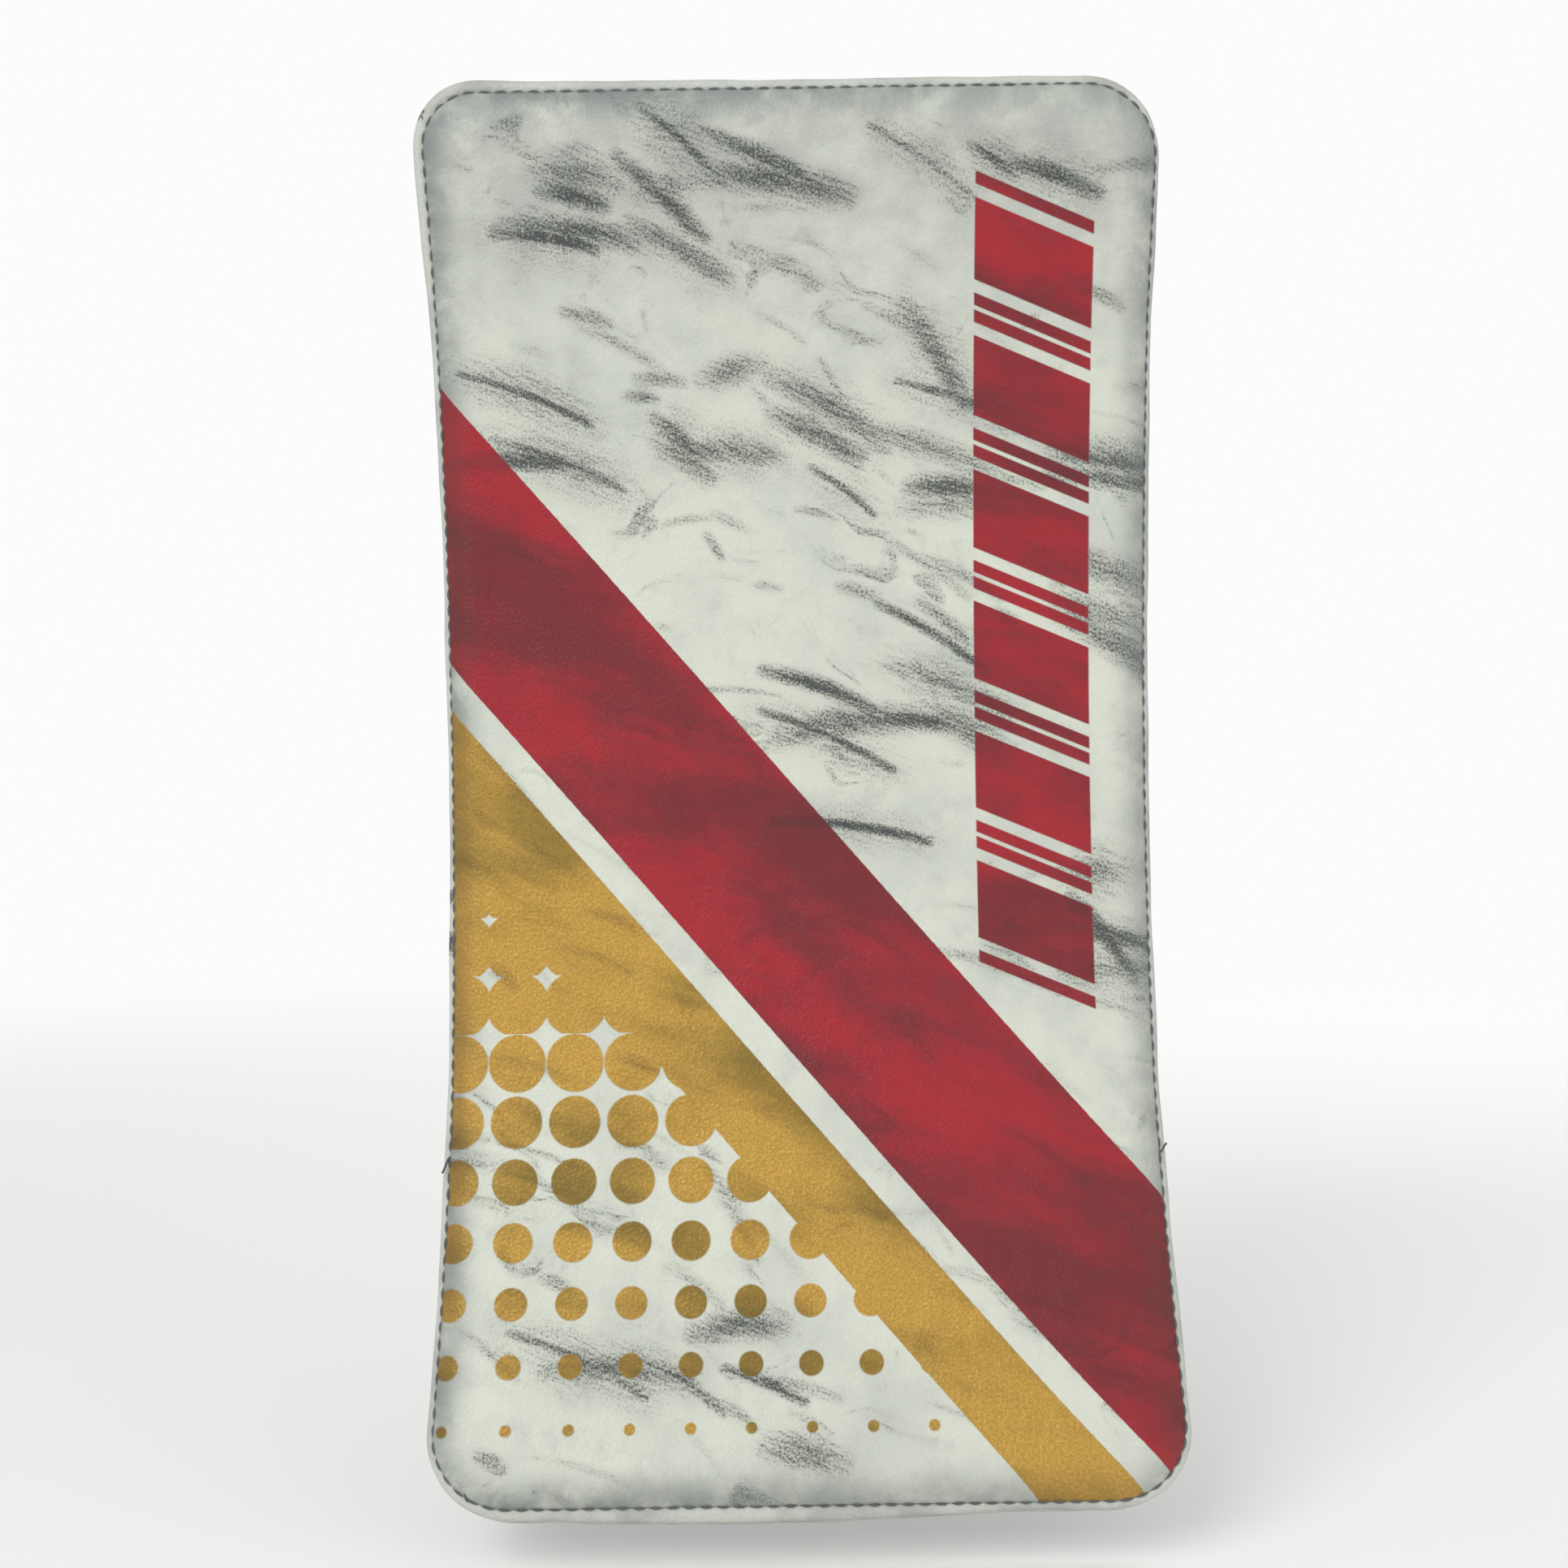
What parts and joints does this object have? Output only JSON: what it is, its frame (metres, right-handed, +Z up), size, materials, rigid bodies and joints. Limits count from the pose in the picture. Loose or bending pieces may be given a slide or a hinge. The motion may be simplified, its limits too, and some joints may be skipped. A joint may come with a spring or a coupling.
{
  "type": "ice hockey goalie blocker",
  "caption": "Bent rectangular goalie blocker board, white with red and gold diagonal stripes, with a padded glove, finger stalls, thumb guard and strapped cuff on its back.",
  "frame": {"origin": "middle of the board's bottom end wall, halfway through its thickness", "axes": "+X across the board towards the thumb, +Y from the strike face towards the palm, +Z up the board towards the cuff"},
  "size_m": [0.2036, 0.1207, 0.398],
  "materials": {
    "white_skin": "smooth synthetic leather, scuffed",
    "white_edge": "smooth synthetic leather",
    "red_skin": "smooth synthetic leather",
    "thread": "bonded thread",
    "black_fabric": "woven nylon",
    "foam": "closed-cell foam",
    "hdpe": "moulded polyethylene sheet",
    "steel": "zinc plated",
    "nylon": "woven nylon",
    "lining": "brushed lining",
    "palm_leather": "soft nubuck",
    "palm_suede": "suede",
    "velcro": "hook and loop",
    "webbing": "woven webbing"
  },
  "bodies": {
    "board": {"face_cover": "white_skin", "seam_thread": "thread", "edge_piping": "white_edge", "edge_gusset": "white_edge", "back_cover": "black_fabric", "face_foam": "foam", "stiffener_plate": "hdpe", "core_foam": "foam", "tee_nuts": "steel", "mount_screws": "steel", "mount_washers": "steel", "glove_back": "nylon", "hand_plate": "hdpe", "backhand_pad": "lining", "palm_shell": "palm_leather", "palm_patch": "palm_suede", "finger_bed": "white_skin", "side_roll": "red_skin", "cuff_floor": "white_skin", "cuff_side": "white_skin", "strap_loop_patch": "velcro"},
    "index_base": {"index_finger_base": "nylon"},
    "middle_base": {"middle_finger_base": "nylon"},
    "ring_base": {"ring_finger_base": "nylon"},
    "little_base": {"little_finger_base": "nylon"},
    "index_tip": {"index_finger_tip": "palm_leather"},
    "middle_tip": {"middle_finger_tip": "palm_leather"},
    "ring_tip": {"ring_finger_tip": "palm_leather"},
    "little_tip": {"little_finger_tip": "palm_leather"},
    "thumb": {"thumb_stall": "palm_leather", "thumb_guard": "white_skin", "thumb_guard_insert": "hdpe"},
    "wing": {"index_guard": "red_skin", "index_guard_insert": "hdpe"},
    "cuff_flap": {"cuff_palm": "white_skin"},
    "strap": {"wrist_strap": "webbing", "strap_hook_patch": "velcro"}
  },
  "joints": [
    {"name": "index_knuckle", "type": "hinge", "parent": "board", "child": "index_base", "pos_m": [0.033, 0.0818, 0.18259], "axis": [1, 0, 0], "range_deg": [0, 70]},
    {"name": "index_middle_joint", "type": "hinge", "parent": "index_base", "child": "index_tip", "pos_m": [0.033, 0.0818, 0.14579], "axis": [1, 0, 0], "range_deg": [0, 72]},
    {"name": "middle_knuckle", "type": "hinge", "parent": "board", "child": "middle_base", "pos_m": [0.007, 0.0818, 0.18259], "axis": [1, 0, 0], "range_deg": [0, 70]},
    {"name": "middle_middle_joint", "type": "hinge", "parent": "middle_base", "child": "middle_tip", "pos_m": [0.007, 0.0818, 0.14211], "axis": [1, 0, 0], "range_deg": [0, 72]},
    {"name": "ring_knuckle", "type": "hinge", "parent": "board", "child": "ring_base", "pos_m": [-0.019, 0.0818, 0.18259], "axis": [1, 0, 0], "range_deg": [0, 70]},
    {"name": "ring_middle_joint", "type": "hinge", "parent": "ring_base", "child": "ring_tip", "pos_m": [-0.019, 0.0818, 0.14487], "axis": [1, 0, 0], "range_deg": [0, 72]},
    {"name": "little_knuckle", "type": "hinge", "parent": "board", "child": "little_base", "pos_m": [-0.045, 0.0818, 0.18259], "axis": [1, 0, 0], "range_deg": [0, 70]},
    {"name": "little_middle_joint", "type": "hinge", "parent": "little_base", "child": "little_tip", "pos_m": [-0.045, 0.0818, 0.15223], "axis": [1, 0, 0], "range_deg": [0, 72]},
    {"name": "thumb_swing", "type": "hinge", "parent": "board", "child": "thumb", "pos_m": [0.058, 0.0828, 0.22059], "axis": [0.9272, 0, 0.3746], "range_deg": [0, 35]},
    {"name": "wing_flex", "type": "hinge", "parent": "board", "child": "wing", "pos_m": [0.061, 0.0548, 0.11359], "axis": [0, 0, -1], "range_deg": [0, 20]},
    {"name": "cuff_open", "type": "hinge", "parent": "board", "child": "cuff_flap", "pos_m": [-0.064, 0.0588, 0.33259], "axis": [0, 0, 1], "range_deg": [0, 31]},
    {"name": "strap_open", "type": "hinge", "parent": "cuff_flap", "child": "strap", "pos_m": [-0.044, 0.1089, 0.33059], "axis": [0, 0, 1], "range_deg": [0, 60]}
  ],
  "couplings": [
    {"joint": "index_middle_joint", "follows": "index_knuckle", "ratio": 1},
    {"joint": "middle_middle_joint", "follows": "middle_knuckle", "ratio": 1},
    {"joint": "ring_middle_joint", "follows": "ring_knuckle", "ratio": 1},
    {"joint": "little_middle_joint", "follows": "little_knuckle", "ratio": 1},
    {"joint": "cuff_open", "follows": "strap_open", "ratio": 0.5}
  ]
}
